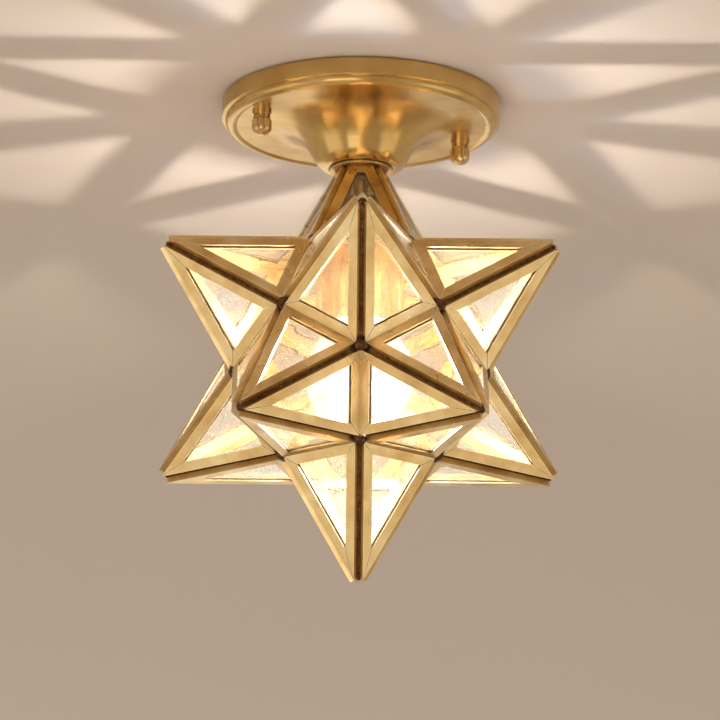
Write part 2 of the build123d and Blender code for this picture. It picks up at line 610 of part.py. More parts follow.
write(shell_terminal.part.moved(BAR_TURN), "shell_terminal")
SHELL_WALL = 0.6
SHELL_SETBACK = 1.0        # shell's edge above the skirt
SHELL_RIVET_MARGIN = 2.0   # brass inside of the rivet on the shell's floor
with BuildPart() as screw_shell:
    with BuildSketch(Plane.XY.offset(SKIRT_TOP + SHELL_SETBACK)):
        Circle(SOCKET_RADIUS)
        Circle(SOCKET_RADIUS - SHELL_WALL, mode=Mode.SUBTRACT)
    extrude(amount=HOLDER_FLOOR_BOTTOM - SKIRT_TOP - SHELL_SETBACK)
    with BuildSketch(Plane.XY.offset(HOLDER_FLOOR_BOTTOM)):
        Circle(SOCKET_RADIUS)
        Circle(SHELL_RIVET_OFFSET - SHELL_RIVET_MARGIN, mode=Mode.SUBTRACT)
    extrude(amount=-CONTACT_SHEET)
write(screw_shell.part, "screw_shell")


# The bulb
BULB_CENTRE = -BULB_BOTTOM + BULB_RADIUS
SPHERE_END = radians(35)   # where the globe turns into the neck, above the globe's middle
BULB_NECK_RADIUS = 11.8
NECK_FLARE = 1.0           # neck widens by this just below the cap
GLASS_TOP = -88.0
with BuildPart() as bulb_glass:
    with BuildSketch(Plane.XZ):
        with BuildLine():
            low = (BULB_RADIUS * sin(pi / 4), BULB_CENTRE - BULB_RADIUS * cos(pi / 4))
            shoulder = (BULB_RADIUS * cos(SPHERE_END), BULB_CENTRE + BULB_RADIUS * sin(SPHERE_END))
            neck_foot = (BULB_NECK_RADIUS + NECK_FLARE, -CAP_BOTTOM - NECK_FLARE)
            globe = ThreePointArc((0, -BULB_BOTTOM), low, shoulder)
            TangentArc(shoulder, neck_foot, tangent=globe % 1)
            Polyline(neck_foot, (BULB_NECK_RADIUS, -CAP_BOTTOM), (BULB_NECK_RADIUS, GLASS_TOP))
            offset(amount=BULB_WALL, side=Side.LEFT)
        make_face()
    revolve(axis=Axis.Z)
write(bulb_glass.part, "bulb_glass")

THREAD_PITCH = 3.62
THREAD_TURNS = 5
THREAD_START = 3.0         # plain skirt below the thread
CAP_ROOT = 12.3
CAP_SLOPE = 6.0            # height of the slope inside the cap's closed end
CAP_MOUTH_RADIUS = 8.4
CAP_END_RADIUS = 9.0
thread = [(CAP_ROOT, -CAP_BOTTOM), (CAP_ROOT, -CAP_BOTTOM + THREAD_START)]
for turn in range(THREAD_TURNS):
    root = -CAP_BOTTOM + THREAD_START + turn * THREAD_PITCH
    thread += [(CAP_RADIUS, root + THREAD_PITCH * 0.35), (CAP_RADIUS, root + THREAD_PITCH * 0.65),
               (CAP_ROOT, root + THREAD_PITCH)]
with BuildPart() as bulb_cap:
    with BuildSketch(Plane.XZ):
        with BuildLine():
            Polyline((BULB_NECK_RADIUS, -CAP_BOTTOM), *thread, (CAP_END_RADIUS, -CAP_TOP),
                     (CAP_MOUTH_RADIUS, -CAP_TOP), (BULB_NECK_RADIUS, -CAP_TOP - CAP_SLOPE), close=True)
        make_face()
    revolve(axis=Axis.Z)
write(bulb_cap.part, "bulb_cap")
TIP_TOP = HOLDER_FLOOR_BOTTOM - CONTACT_SHEET - 0.3
INSULATOR_HEIGHT = 1.2
INSULATOR_RADIUS = 5.4
with BuildPart() as bulb_insulator:
    with BuildSketch(Plane.XZ):
        with BuildLine():
            Polyline((0, -CAP_TOP), (CAP_END_RADIUS, -CAP_TOP),
                     (INSULATOR_RADIUS, -CAP_TOP + INSULATOR_HEIGHT),
                     (0, -CAP_TOP + INSULATOR_HEIGHT), close=True)
        make_face()
    revolve(axis=Axis.Z)
write(bulb_insulator.part, "bulb_insulator")
BUTTON_RADIUS = 4.8
BUTTON_TAPER = 30
with BuildPart() as bulb_contact:
    with BuildSketch(Plane.XY.offset(-CAP_TOP + INSULATOR_HEIGHT)):
        Circle(BUTTON_RADIUS)
    extrude(amount=TIP_TOP + CAP_TOP - INSULATOR_HEIGHT, taper=BUTTON_TAPER)
write(bulb_contact.part, "bulb_contact")

STEM_TIP = -122.0
STEM_FLANGE = 1.2
STEM_ROOT = (4.0, 6.0)     # radius and depth where the flange has drawn in to the stem
PRESS_RADIUS = 3.2         # pressed end of the stem, and how long it is
PRESS_LENGTH = 4.0
PRESS_TIP_RADIUS = 1.8
STEM_FLANGE_RADIUS = BULB_NECK_RADIUS - BULB_WALL
with BuildPart() as bulb_stem:
    with BuildSketch(Plane.XZ):
        with BuildLine():
            Polyline((0, GLASS_TOP), (STEM_FLANGE_RADIUS, GLASS_TOP),
                     (STEM_FLANGE_RADIUS, GLASS_TOP - STEM_FLANGE), (STEM_ROOT[0], GLASS_TOP - STEM_ROOT[1]),
                     (PRESS_RADIUS, STEM_TIP + PRESS_LENGTH), (PRESS_TIP_RADIUS, STEM_TIP),
                     (0, STEM_TIP), close=True)
        make_face()
    revolve(axis=Axis.Z)
write(bulb_stem.part, "bulb_stem")
FILAMENT_DROP = -147.0
FILAMENT_RADIUS = 8.5
WIRE_RADIUS = 0.35
WIRE_PLACE = 1.0           # wires' distance from the axis at the stem
half_filament = [(WIRE_PLACE, STEM_TIP), (WIRE_PLACE, STEM_TIP - 2),
                 (FILAMENT_RADIUS, FILAMENT_DROP + 6), (FILAMENT_RADIUS * 0.7, FILAMENT_DROP - 4)]
filament_path = half_filament + [(0, FILAMENT_DROP + 8)] + [(-x, z) for x, z in reversed(half_filament)]
with BuildPart() as bulb_filament:
    with BuildLine():
        Polyline(*[(x, 0, z) for x, z in filament_path])
    with BuildSketch(Plane.XY.offset(STEM_TIP)):
        with Locations((WIRE_PLACE, 0)):
            RegularPolygon(WIRE_RADIUS, 6)
    sweep(transition=Transition.RIGHT)
write(bulb_filament.part, "bulb_filament")

# Wiring inside the canopy, drawn along X and turned to the stud line
TERMINAL_HALF = (8.0, 8.5)
TERMINAL_CENTRE = -17.0
TERMINAL_DROP = 12.0
TERMINAL_CORNER = 2.0
SCREW_WELL_RADIUS = 1.8
SCREW_WELL_DEPTH = 4.0
SCREW_WELL_SPACING = (8.0, 6.5)
with BuildPart() as terminal_block:
    with BuildSketch(Plane.XY.offset(-BAR_SHEET)):
        with Locations((TERMINAL_CENTRE, 0)):
            RectangleRounded(2 * TERMINAL_HALF[0], 2 * TERMINAL_HALF[1], TERMINAL_CORNER)
    extrude(amount=-TERMINAL_DROP)
    with BuildSketch(Plane.XY.offset(-BAR_SHEET - TERMINAL_DROP)):
        with Locations((TERMINAL_CENTRE, 0)):
            with GridLocations(*SCREW_WELL_SPACING, 2, 2):
                Circle(SCREW_WELL_RADIUS)
    extrude(amount=SCREW_WELL_DEPTH, mode=Mode.SUBTRACT)
write(terminal_block.part.moved(BAR_TURN), "terminal_block")

LEAD_RADIUS = 1.1
LEAD_HEIGHT = -8.0
LEAD_BEND = 5.0


def lead(side, end):
    """An insulated lead from the terminal block down the threaded tube."""
    start = (TERMINAL_CENTRE + TERMINAL_HALF[0], side * LEAD_OFFSET, LEAD_HEIGHT)
    with BuildPart() as wire:
        with BuildLine():
            FilletPolyline(start, (0, side * LEAD_OFFSET, LEAD_HEIGHT), (0, side * LEAD_OFFSET, end),
                           radius=LEAD_BEND)
        with BuildSketch(Plane(start, x_dir=(0, 1, 0), z_dir=(1, 0, 0))):
            Circle(LEAD_RADIUS)
        sweep()
    return wire.part


write(lead(-1, HOLDER_FLOOR_TOP).moved(BAR_TURN), "live_lead")
write(lead(1, HOLDER_FLOOR_TOP + CONTACT_SHEET).moved(BAR_TURN), "neutral_lead")
EARTH_HEAD_RADIUS = 3.6
EARTH_HEAD = 2.4
with BuildPart() as earth_screw:
    with BuildSketch(Plane.XY.offset(-BAR_SHEET)):
        Circle(EARTH_HEAD_RADIUS)
    extrude(amount=-EARTH_HEAD)
    chamfer(earth_screw.edges().group_by(Axis.Z)[0], length=HEAD_CHAMFER)
    with BuildSketch(Plane.XY.offset(-BAR_SHEET)):
        Circle(STUD_RADIUS)
    extrude(amount=BAR_SHEET)
write(earth_screw.part.moved(BAR_TURN * Location((EARTH_PLACE, 0, 0))), "earth_screw")
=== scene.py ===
"""Looks of the star semi-flush ceiling light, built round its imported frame.

Metres, +Z up. The ceiling is z = 0 and the light hangs below it. -Y is the front.
"""
import json
import math

import bmesh
import bpy
from bpy.props import FloatProperty, FloatVectorProperty, PointerProperty
from mathutils import Matrix, Vector, noise

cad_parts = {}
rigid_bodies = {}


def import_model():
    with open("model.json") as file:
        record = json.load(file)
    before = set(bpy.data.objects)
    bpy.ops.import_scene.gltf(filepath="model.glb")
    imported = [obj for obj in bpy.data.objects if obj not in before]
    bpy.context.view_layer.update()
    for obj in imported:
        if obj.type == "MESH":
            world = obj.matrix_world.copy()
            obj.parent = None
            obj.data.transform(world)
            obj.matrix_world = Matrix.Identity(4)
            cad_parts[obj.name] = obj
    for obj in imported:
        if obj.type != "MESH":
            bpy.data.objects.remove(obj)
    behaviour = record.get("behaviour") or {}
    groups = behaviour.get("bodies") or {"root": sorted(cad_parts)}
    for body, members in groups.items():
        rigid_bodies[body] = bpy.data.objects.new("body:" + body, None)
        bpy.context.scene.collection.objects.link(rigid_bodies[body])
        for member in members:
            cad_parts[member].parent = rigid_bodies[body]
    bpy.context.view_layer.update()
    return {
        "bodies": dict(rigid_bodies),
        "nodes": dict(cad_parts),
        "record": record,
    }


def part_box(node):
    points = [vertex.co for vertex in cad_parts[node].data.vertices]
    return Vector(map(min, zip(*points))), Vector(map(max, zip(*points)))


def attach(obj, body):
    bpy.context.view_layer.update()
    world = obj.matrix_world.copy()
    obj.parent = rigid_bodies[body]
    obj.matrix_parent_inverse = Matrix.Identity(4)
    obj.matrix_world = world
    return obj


bl_info = {
    "name": "Star Ceiling Light",
    "version": (1, 0, 0),
    "blender": (4, 5, 0),
    "location": "View3D > Sidebar > Star Light",
    "description": "Dresses the star ceiling light and sets up its studio",
    "category": "Object",
}

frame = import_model()

MM = 0.001
GOLDEN = (1 + math.sqrt(5)) / 2

# The canopy, the bulb and the lamps in it, placed from the frame
CANOPY_LOW, CANOPY_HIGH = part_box("canopy")
CANOPY_RADIUS = (CANOPY_HIGH.x - CANOPY_LOW.x) / 2
BULB_LOW, BULB_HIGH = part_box("bulb_glass")
BULB_RADIUS = (BULB_HIGH.x - BULB_LOW.x) / 2
BULB_CENTRE = Vector((0, 0, BULB_LOW.z + BULB_RADIUS))
LAMP_RADIUS = 3.5 * MM                     # small, so that the rays on the ceiling keep their edges
GLARE_OFFSET = Vector((8, 0, -4)) * MM     # the photograph shows the glare off the bulb's axis

# The star: a dodecahedron with a five-sided point on each of its twelve faces
STAR_EDGE = 50 * MM                        # of the dodecahedron, and the short side of a pane
STAR_CENTRE = Vector((0, 0, -138 * MM))
# from the centre to where three points meet, and to a tip
VERTEX_RADIUS = STAR_EDGE * GOLDEN * math.sqrt(3) / 2
TIP_REACH = STAR_CENTRE.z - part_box("bottom_point_frame")[0].z
TIP_OUT = 2 / math.sqrt(5)                 # for a reach of 1, how far a tilted tip stands out
TIP_UP = 1 / math.sqrt(5)                  # and how far above or below the centre
TOP_DIRECTION = Vector((0, 0, 1))
DOOR_DIRECTION = Vector((0, TIP_OUT, -TIP_UP))

STAR_POINTS = sorted(name.removesuffix("_frame") for name in frame["nodes"] if name.endswith("_frame"))
SLOT_OF_NODE = {part["node"]: part["material_slot"] for part in frame["record"]["subparts"]}
SLOT_MATERIALS = {}


# Colours, nodes and materials
def linear(hex_colour):
    """An sRGB hex colour as the linear colour that a socket takes."""
    channels = [int(hex_colour[i:i + 2], 16) / 255 for i in (1, 3, 5)]
    return [c / 12.92 if c <= 0.04045 else ((c + 0.055) / 1.055) ** 2.4 for c in channels] + [1.0]


def socket_colour(colour):
    """A socket's colour, from sRGB hex, a number for a grey, or three linear channels."""
    if isinstance(colour, str):
        return linear(colour)
    if isinstance(colour, float):
        return [colour, colour, colour, 1.0]
    return list(colour) + [1.0]


def add_node(tree, kind, values=None, links=None, stops=(), **settings):
    """Adds a shader node with its settings, socket values, links and, for a ramp, its stops."""
    made = tree.nodes.new("ShaderNode" + kind)
    for name, value in settings.items():
        setattr(made, name, value)
    for socket, value in (values or {}).items():
        made.inputs[socket].default_value = value
    for socket, source in (links or {}).items():
        tree.links.new(source, made.inputs[socket])
    if stops:
        marks = made.color_ramp.elements
        while len(marks) < len(stops):
            marks.new(0.5)
        for mark, (place, colour) in zip(marks, stops):
            mark.position = place
            mark.color = socket_colour(colour)
    return made


def new_material(name, surface):
    """A material with one Principled shader, whose own values are in surface."""
    material = bpy.data.materials.new(name)
    material.use_nodes = True
    tree = material.node_tree
    shader = tree.nodes["Principled BSDF"]
    for socket, value in surface.items():
        shader.inputs[socket].default_value = value
    return material, tree, shader


def feed(tree, shader, sources):
    """Links each pattern in sources to the shader's socket of that name."""
    for socket, source in sources.items():
        tree.links.new(source, shader.inputs[socket])


def per_metre(millimetres):
    """Texture scale for a pattern whose features are this many millimetres apart."""
    return 1 / (millimetres * MM)


def clouds(tree, size_mm, detail=3.0):
    """Soft cloudy variation over a piece, with features of a given size."""
    place = add_node(tree, "TexCoord").outputs["Object"]
    made = add_node(tree, "TexNoise", {"Scale": per_metre(size_mm), "Detail": detail,
                                       "Roughness": 0.55}, {"Vector": place})
    return made.outputs["Fac"]


def mottled(tree, size_mm, stops, detail=3.0):
    """A colour or a value that drifts over a piece in cloudy patches."""
    patches = clouds(tree, size_mm, detail)
    return add_node(tree, "ValToRGB", links={"Fac": patches}, stops=stops).outputs["Color"]


def wear(tree, size_mm, dark, base, bright):
    """Brass colour that drifts at random between a tarnished, a plain and a worn, brighter tone."""
    return mottled(tree, size_mm, [(0.30, dark), (0.52, base), (0.72, bright)])


def relief(tree, height, depth_mm, edge_mm=0.0):
    """A normal from a height pattern depth_mm deep, with edges eased so that they catch the light."""
    links = {"Height": height}
    if edge_mm:
        links["Normal"] = add_node(tree, "Bevel", {"Radius": edge_mm * MM}, samples=4).outputs["Normal"]
    return add_node(tree, "Bump", {"Strength": 1.0, "Distance": depth_mm * MM}, links).outputs["Normal"]


def painted_glint_and_shade(tree, tone, fold_mm, glint_colour, crevice_mm, shade_colour):
    """Colour with a painted highlight, lighter where the eased normal leaves the true one at the folds,
    and painted shade, browner where ambient occlusion finds a crevice.
    """
    true_side = add_node(tree, "NewGeometry").outputs["Normal"]
    eased = add_node(tree, "Bevel", {"Radius": fold_mm * MM}, samples=4).outputs["Normal"]
    flatness = add_node(tree, "VectorMath", links={0: true_side, 1: eased}, operation="DOT_PRODUCT")
    # painted highlight: the colour lightens along the folds, where the eased normal leaves the true one
    fold = add_node(tree, "ValToRGB", links={"Fac": flatness.outputs["Value"]},
                    stops=[(0.86, 1.0), (0.99, 0.0)])
    with_painted_glint = add_node(tree, "MixRGB", {"Color2": linear(glint_colour)},
                          {"Fac": fold.outputs["Color"], "Color1": tone})
    # painted shade: the colour browns in the crevices that ambient occlusion finds
    open_air = add_node(tree, "AmbientOcclusion", {"Distance": crevice_mm * MM}, samples=6)
    crevice = add_node(tree, "ValToRGB", links={"Fac": open_air.outputs["AO"]},
                       stops=[(0.12, 1.0), (0.62, 0.0)])
    with_painted_shade = add_node(tree, "MixRGB", {"Color2": linear(shade_colour)},
                       {"Fac": crevice.outputs["Color"], "Color1": with_painted_glint.outputs["Color"]})
    return with_painted_shade.outputs["Color"]


def folded_channel_brass(base):
    """Brass strip folded into channel and lacquered: satin, warm, with eased folds, a painted highlight
    along them and painted shade in its crevices.
    """
    material, tree, shader = new_material("lacquered_folded_brass", {"Metallic": 1.0})
    tone = wear(tree, 18, "#c8a568", base, "#e8d2a0")
    # rolling marks are 0.1 mm in the real strip, drawn at 0.5 mm so that they show
    grain = clouds(tree, 0.5, detail=2.0)
    feed(tree, shader, {
        # a painted highlight along the folds and painted shade in the crevices
        "Base Color": painted_glint_and_shade(tree, tone, 0.6, "#fff2d2", 2.5, "#7a5228"),
        "Roughness": mottled(tree, 7, [(0.3, 0.26), (0.7, 0.36)]),
        "Normal": relief(tree, grain, 0.006, edge_mm=0.15)})
    return material


def spun_sheet_brass(name, dark, base, bright, roughness):
    """Sheet brass spun on a lathe: fine rings round the axis stretch each highlight across them."""
    material, tree, shader = new_material(name, {"Metallic": 1.0, "Anisotropic": 0.7,
                                                 "Anisotropic Rotation": 0.25})
    place = add_node(tree, "TexCoord").outputs["Object"]
    apart = add_node(tree, "SeparateXYZ", links={"Vector": place})
    flat = add_node(tree, "CombineXYZ", links={"X": apart.outputs["X"], "Y": apart.outputs["Y"]})
    reach = add_node(tree, "VectorMath", links={0: flat.outputs["Vector"]}, operation="LENGTH")
    # the reach from the axis less the height changes up a straight wall and across a flat ring alike
    along = add_node(tree, "Math", links={0: reach.outputs["Value"], 1: apart.outputs["Z"]},
                     operation="SUBTRACT")
    # turning marks of about 0.1 mm, drawn at 0.5 mm so that they show
    rings = add_node(tree, "TexNoise", {"Scale": per_metre(0.5), "Detail": 1.0},
                     {"W": along.outputs["Value"]}, noise_dimensions="1D").outputs["Fac"]
    ringed = add_node(tree, "ValToRGB", links={"Fac": rings},
                      stops=[(0.3, roughness[0]), (0.7, roughness[1])])
    feed(tree, shader, {
        "Base Color": wear(tree, 24, dark, base, bright),
        "Roughness": ringed.outputs["Color"],
        "Normal": relief(tree, rings, 0.0003, edge_mm=0.4),
        "Tangent": add_node(tree, "Tangent", direction_type="RADIAL", axis="Z").outputs["Tangent"]})
    return material


def plain_metal(name, colour, roughness, grain_mm=0.6, depth_mm=0.01):
    """A bare or plated metal with a fine grain, up to three tenths darker in cloudy patches."""
    material, tree, shader = new_material(name, {"Metallic": 1.0, "Roughness": roughness})
    clean = linear(colour)[:3]
    dulled = [channel * 0.7 for channel in clean]
    grain = clouds(tree, grain_mm, detail=2.0)
    feed(tree, shader, {
        "Base Color": mottled(tree, 5, [(0.0, clean), (1.0, dulled)]),
        "Normal": relief(tree, grain, depth_mm, edge_mm=0.15)})
    return material


def patinated_solder():
    """Tin solder browned with patina: dark and lumpy, with dull brassy rubs on the high spots."""
    material, tree, shader = new_material("browned_solder", {"Metallic": 0.8, "Roughness": 0.42})
    lumps = clouds(tree, 1.6, detail=4.0)
    tone = add_node(tree, "ValToRGB", links={"Fac": lumps},
                    stops=[(0.35, "#3a2614"), (0.58, "#6b4a28"), (0.78, "#a98a5c")])
    feed(tree, shader, {"Base Color": tone.outputs["Color"], "Normal": relief(tree, lumps, 0.25)})
    return material


def clear_where(tree, shader, share, tint="#ffffff"):
    """Lets light straight through a surface, tinted a little, where a node's output is 1."""
    through = add_node(tree, "BsdfTransparent", {"Color": linear(tint)})
    mixed = add_node(tree, "MixShader", links={"Fac": share, 1: shader.outputs["BSDF"],
                                               2: through.outputs["BSDF"]})
    tree.links.new(mixed.outputs["Shader"], tree.nodes["Material Output"].inputs["Surface"])


def clear_for_lamps(tree, shader, tint):
    """Lets lamp light through a glass surface, so that what is behind it stays lit."""
    path = add_node(tree, "LightPath")
    clear_where(tree, shader, path.outputs["Is Shadow Ray"], tint)


def drawn_glass():
    """Clear soda-lime pane, drawn flat: slow waves in its surface bend what is seen behind it."""
    material, tree, shader = new_material("clear_drawn_glass", {
        "Base Color": linear("#fbfaf5"), "IOR": 1.5})
    waves = relief(tree, clouds(tree, 22, detail=1.5), 0.5)
    # seeds are 0.3 mm bubbles in the real pane, drawn at 1.1 mm so that they show
    seeds = clouds(tree, 1.1, detail=1.0)
    bubble = add_node(tree, "ValToRGB", links={"Fac": seeds}, stops=[(0.56, 0.0), (0.64, 1.0)])
    pitted = add_node(tree, "Bump", {"Strength": 1.0, "Distance": 0.03 * MM},
                      {"Height": bubble.outputs["Color"], "Normal": waves})
    milky = add_node(tree, "ValToRGB", links={"Fac": seeds}, stops=[(0.60, 0.99), (0.68, 0.78)])
    feed(tree, shader, {
        "Roughness": mottled(tree, 2.5, [(0.45, 0.0), (0.75, 0.05)], detail=4.0),
        "Transmission Weight": milky.outputs["Color"],
        "Normal": pitted.outputs["Normal"]})
    clear_for_lamps(tree, shader, "#f7f8f7")
    return material


def glowing_bulb_glass(glow, colour):
    """Blown bulb glass, lit from within: clear, with a film that spreads the filament's glare."""
    material, tree, shader = new_material("blown_lit_glass", {
        "Base Color": linear("#fffdf8"), "Transmission Weight": 1.0, "IOR": 1.5, "Roughness": 0.14,
        "Emission Color": socket_colour(colour), "Emission Strength": glow})
    feed(tree, shader, {"Normal": relief(tree, clouds(tree, 1.2), 0.02)})
    clear_for_lamps(tree, shader, "#fcfdff")
    return material


def hot_tungsten():
    """Tungsten wire at working heat: yellow-white light from the wire itself."""
    material, tree, shader = new_material("hot_tungsten", {
        "Base Color": linear("#6b6259"), "Metallic": 1.0, "Roughness": 0.5,
        "Emission Color": linear("#ffe6c0"), "Emission Strength": 30.0})
    coil = clouds(tree, 0.5, detail=1.0)
    feed(tree, shader, {"Normal": relief(tree, coil, 0.05)})
    return material


def glazed_porcelain():
    """White porcelain under a clear glaze: smooth, glossy, faintly cream and uneven."""
    material, tree, shader = new_material("glazed_porcelain", {
        "Roughness": 0.16, "IOR": 1.5, "Coat Weight": 0.4, "Coat Roughness": 0.06})
    feed(tree, shader, {
        "Base Color": mottled(tree, 9, [(0.3, "#e2dccd"), (0.7, "#eee9dd")]),
        "Normal": relief(tree, clouds(tree, 6), 0.06, edge_mm=0.5)})
    return material


def moulded_skin(name, dark, light, roughness):
    """Moulded, extruded or dipped skin: plastic, fused glass or lacquer, fine and even."""
    material, tree, shader = new_material(name, {"Roughness": roughness, "IOR": 1.49})
    feed(tree, shader, {
        "Base Color": mottled(tree, 4, [(0.3, dark), (0.7, light)]),
        "Normal": relief(tree, clouds(tree, 0.7), 0.01, edge_mm=0.2)})
    return material


def finish_slots(looks):
    """The material of each of the record's slots."""
    return {
        "frame_brass": folded_channel_brass(looks.channel_colour),
        "spun_brass": spun_sheet_brass("satin_spun_brass", "#c09a5a", looks.spun_colour, "#dabc7e",
                                       (0.22, 0.27)),
        "cup_brass": spun_sheet_brass("satin_drawn_brass", "#e2cda6", "#ecdcba", "#f4e8cc",
                                      (0.20, 0.26)),
        "nut_brass": plain_metal("polished_cast_brass", "#e2c48c", 0.2, grain_mm=1.0),
        "hinge_brass": plain_metal("stamped_strip_brass", "#d3b274", 0.34),
        "dark_solder": patinated_solder(),
        "pane_glass": drawn_glass(),
        "bulb_glass": glowing_bulb_glass(looks.bulb_glow, looks.bulb_colour),
        "bulb_stem_glass": drawn_glass(),
        "tungsten": hot_tungsten(),
        "cap_aluminium": plain_metal("rolled_aluminium", "#c9c9c6", 0.3),
        "black_glass": moulded_skin("black_fused_glass", "#08080a", "#121214", 0.12),
        "cap_solder": plain_metal("bright_solder", "#b7b7b2", 0.4, depth_mm=0.05),
        "zinc_steel": plain_metal("zinc_plated_steel", "#b9bab6", 0.36, depth_mm=0.02),
        "green_screw": moulded_skin("green_lacquered_steel", "#176b35", "#1f7a40", 0.3),
        "white_nylon": moulded_skin("moulded_nylon", "#dcdad0", "#e8e6dd", 0.5),
        "porcelain": glazed_porcelain(),
        "nickel_brass": plain_metal("nickel_plated_brass", "#cbc4b4", 0.28),
        "brown_lead": moulded_skin("brown_lead_insulation", "#44270f", "#553117", 0.45),
        "blue_lead": moulded_skin("blue_lead_insulation", "#1a3f86", "#214b99", 0.45),
    }


def dress(nodes):
    """Gives CAD nodes the materials of their slots."""
    for name in nodes:
        mesh = frame["nodes"][name].data
        mesh.materials.clear()
        mesh.materials.append(SLOT_MATERIALS[SLOT_OF_NODE[name]])


# The star's own geometry
CLOSE = 0.01                 # unit directions nearer than this are the same
NEIGHBOUR_COSINE = 0.4       # neighbouring tips stand nearer than this, at a cosine of 0.447


def same_way(first, second):
    """Whether two unit directions are the same."""
    return (first - second).length < CLOSE


def point_directions():
    """Directions from the star's centre to its twelve tips. The door's is the one at the lower rear."""
    front = Vector((0, -TIP_OUT, TIP_UP))
    upper = [Matrix.Rotation(math.radians(72 * k), 3, "Z") @ front for k in range(5)]
    lower = [-direction for direction in upper]
    return [TOP_DIRECTION, Vector((0, 0, -1))] + upper + lower


def valley_corners():
    """The twenty places where three points of the star meet, and whether the door is one of them."""
    directions = point_directions()
    corners = []
    for i, first in enumerate(directions):
        for j, second in enumerate(directions[i + 1:], i + 1):
            for third in directions[j + 1:]:
                if min(first.dot(second), first.dot(third), second.dot(third)) > NEIGHBOUR_COSINE:
                    at_door = any(same_way(point, DOOR_DIRECTION) for point in (first, second, third))
                    corners.append(((first + second + third).normalized(), at_door))
    return corners


# A knot of solder, for a radius of 1
KNOT_HEIGHT = 0.62           # of the dome above its middle
KNOT_UNEVENNESS = 0.35       # how far the noise moves its surface in and out
KNOT_SUNK = 0.6              # how deep its middle lies at a corner between fixed points
DOOR_KNOT_SUNK = 1.5         # deeper round the doorway, so that the door closes over it
TIP_KNOT_SUNK = 1.1          # at a tip, where it fills the hole between the five channels
NOISE_SPAN = 0.9             # how much of the noise it covers
NOISE_STEP = 7.3             # how far on in the noise the next knot is


def solder_knot(mesh, centre, outward, radius, seed):
    """Adds one lump of solder: a low dome with a rough, runny outline."""
    turn = outward.to_track_quat("Z", "Y").to_matrix()
    made = bmesh.ops.create_icosphere(mesh, subdivisions=3, radius=radius)
    for vertex in made["verts"]:
        sample = vertex.co / radius * NOISE_SPAN + Vector((seed, 0, 0))
        rough = 1 + KNOT_UNEVENNESS * noise.noise(sample)
        shaped = Vector((vertex.co.x * rough, vertex.co.y * rough, vertex.co.z * KNOT_HEIGHT * rough))
        vertex.co = centre + turn @ shaped


def solder_piece(name, places, body):
    """Makes one piece of solder knots, each with its direction, reach and radius."""
    mesh = bmesh.new()
    for index, (outward, reach, radius) in enumerate(places):
        solder_knot(mesh, STAR_CENTRE + outward * reach, outward, radius, index * NOISE_STEP)
    data = bpy.data.meshes.new(name)
    mesh.to_mesh(data)
    mesh.free()
    data.shade_smooth()
    data.materials.append(SLOT_MATERIALS["dark_solder"])
    piece = bpy.data.objects.new(name, data)
    bpy.context.scene.collection.objects.link(piece)
    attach(piece, body)


# Settings that a user would change
def colour_setting(name, description, hex_colour):
    """A colour setting with its default in sRGB hex."""
    return FloatVectorProperty(name=name, description=description, subtype="COLOR",
                               default=linear(hex_colour)[:3], min=0.0, max=1.0)


class StarLightSettings(bpy.types.PropertyGroup):
    channel_colour: colour_setting("Channel brass", "Plain tone of the brass channels", "#ddc084")
    spun_colour: colour_setting("Spun brass", "Plain tone of the spun canopy", "#d0ae6c")
    bulb_colour: colour_setting("Bulb colour", "Colour of the bulb's light", "#fff5ea")
    bulb_glow: FloatProperty(
        name="Bulb glow", description="How brightly the bulb's glass glows", default=0.03, min=0.0)
    bulb_power: FloatProperty(
        name="Bulb power", description="Light that the bulb sends out", subtype="POWER",
        default=2.45, min=0.0)
    glare_colour: colour_setting("Glare colour", "Colour of the glare in polished metal", "#d0dfff")
    glare_power: FloatProperty(
        name="Bulb glare", description="Extra glare of the bulb in polished metal", subtype="POWER",
        default=6.5, min=0.0)
    knot_radius: FloatProperty(
        name="Solder knot radius", description="Size of the solder lump where three points meet",
        subtype="DISTANCE", default=3.4 * MM, min=0.0)
    tip_knot_radius: FloatProperty(
        name="Tip knot radius", description="Size of the solder lump in each tip",
        subtype="DISTANCE", default=1.9 * MM, min=0.0)


class StarStudioSettings(bpy.types.PropertyGroup):
    ceiling_colour: colour_setting("Ceiling colour", "Paint of the ceiling and floor", "#c8b8a7")
    softbox_colour: colour_setting("Softbox colour", "Colour of the softboxes' light", "#fffdfa")
    key_power: FloatProperty(
        name="Key light", description="Power of the front softbox", subtype="POWER", default=12.0,
        min=0.0)
    fill_power: FloatProperty(
        name="Fill light", description="Power of each other softbox", subtype="POWER", default=3.0,
        min=0.0)
    camera_distance: FloatProperty(
        name="Camera distance", description="From the camera to the star's centre", subtype="DISTANCE",
        default=5.0, min=0.5)


# The steps, one for each group of pieces
class STAR_OT_finishes(bpy.types.Operator):
    """Makes the material of every slot"""
    bl_idname = "star.finishes"
    bl_label = "Make Finishes"

    def execute(self, context):
        SLOT_MATERIALS.clear()
        SLOT_MATERIALS.update(finish_slots(context.scene.star_light))
        return {"FINISHED"}


class STAR_OT_points(bpy.types.Operator):
    """Dresses the brass channels and the panes of the star's points"""
    bl_idname = "star.points"
    bl_label = "Dress Points"

    def execute(self, context):
        dress([f"{point}_frame" for point in STAR_POINTS])
        dress([f"{point}_glass" for point in STAR_POINTS])
        return {"FINISHED"}


